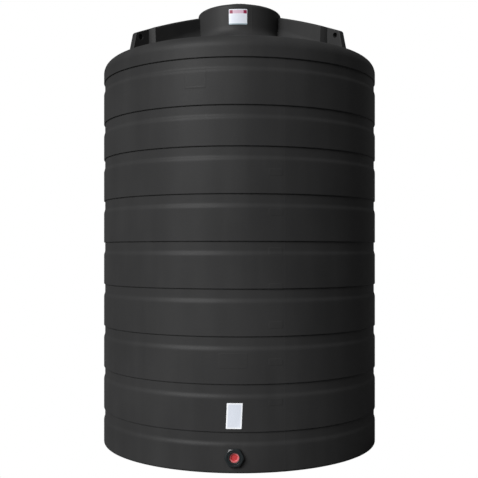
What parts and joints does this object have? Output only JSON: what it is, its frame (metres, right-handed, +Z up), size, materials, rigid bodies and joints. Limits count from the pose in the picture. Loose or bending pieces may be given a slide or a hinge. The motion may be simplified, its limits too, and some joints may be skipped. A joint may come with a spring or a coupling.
{
  "type": "vertical storage tank",
  "caption": "Upright cylindrical plastic liquid storage tank with a banded wall, coned roof, lifting ribs, top manway turret with lid and a plugged bulkhead outlet near the base.",
  "frame": {"origin": "centre of the tank's underside, on the ground", "axes": "+Z up along the tank's axis, -Y out through the outlet on the front"},
  "size_m": [2.5844, 2.62, 4.18],
  "materials": {
    "black_polyethylene": "semi-matt moulded polyethylene, fine grain",
    "black_lid": "satin injection-moulded plastic",
    "black_fitting": "glossy moulded fitting",
    "gasket_rubber": "matt rubber",
    "red_plug": "soft translucent red plastic plug",
    "white_film": "white film, slightly glossy"
  },
  "bodies": {
    "root": {"tank_floor": "black_polyethylene", "wall_band_1": "black_polyethylene", "wall_band_1_front": "black_polyethylene", "wall_band_2": "black_polyethylene", "wall_band_3": "black_polyethylene", "wall_band_4": "black_polyethylene", "wall_band_5": "black_polyethylene", "wall_band_6": "black_polyethylene", "wall_band_7": "black_polyethylene", "wall_band_8": "black_polyethylene", "wall_band_9": "black_polyethylene", "cap_band": "black_polyethylene", "roof_cone": "black_polyethylene", "manway_neck": "black_polyethylene", "manway_crown": "black_polyethylene", "manway_collar": "black_polyethylene", "manway_lid": "black_lid", "lid_skirt": "black_lid", "lid_vent": "black_lid", "lifting_rib_front_left": "black_polyethylene", "lifting_rib_front_right": "black_polyethylene", "lifting_rib_back_left": "black_polyethylene", "lifting_rib_back_right": "black_polyethylene", "lifting_lug_front_left": "black_polyethylene", "lifting_lug_front_right": "black_polyethylene", "lifting_lug_back_left": "black_polyethylene", "lifting_lug_back_right": "black_polyethylene", "outlet_nut": "black_fitting", "outlet_gasket": "gasket_rubber", "outlet_barrel": "black_fitting", "outlet_inner_head": "black_fitting", "outlet_plug": "red_plug", "turret_label": "white_film", "wall_sheet": "white_film"}
  },
  "joints": []
}
